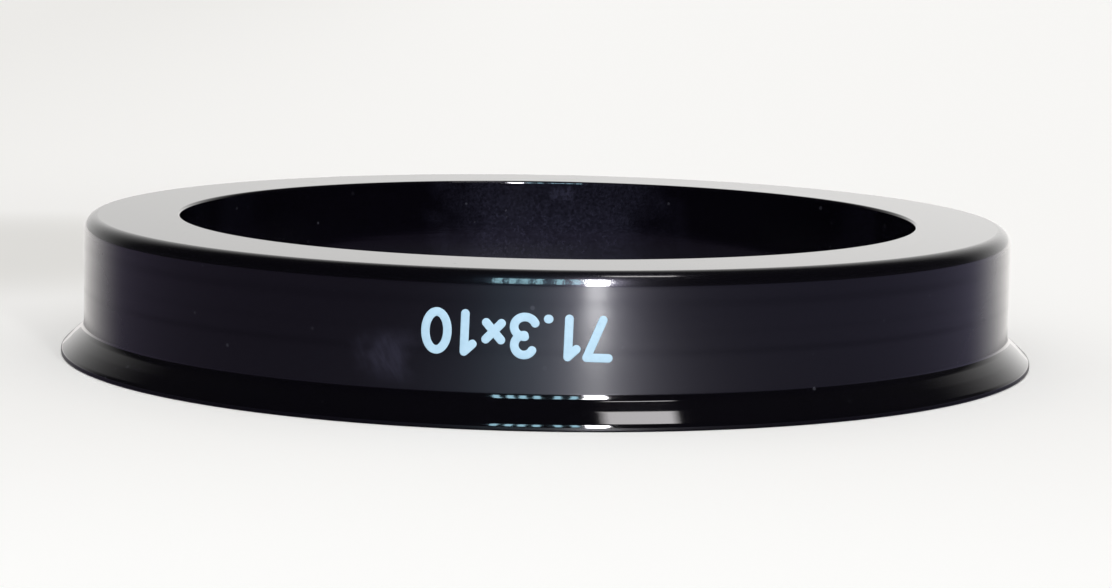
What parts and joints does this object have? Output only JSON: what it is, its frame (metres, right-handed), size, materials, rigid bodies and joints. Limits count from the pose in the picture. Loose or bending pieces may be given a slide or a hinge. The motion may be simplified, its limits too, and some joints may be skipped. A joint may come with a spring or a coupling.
{
  "type": "hub centric ring",
  "caption": "Moulded ring with a tapered lip that sits between a car's hub spigot and a wheel's larger centre bore, so that the wheel runs on centre.",
  "frame": {"origin": "on the bore axis, at the flat lip face that the ring stands on", "axes": "+Z along the bore axis, from the lip face to the nose that goes into the wheel; +X and +Y are any pair across it, with the picture taken looking along +Y"},
  "size_m": [0.0712, 0.0712, 0.01],
  "materials": {
    "gloss_black": "smooth moulded plastic with a high gloss"
  },
  "bodies": {
    "root": {"hub_ring": "gloss_black"}
  },
  "joints": []
}
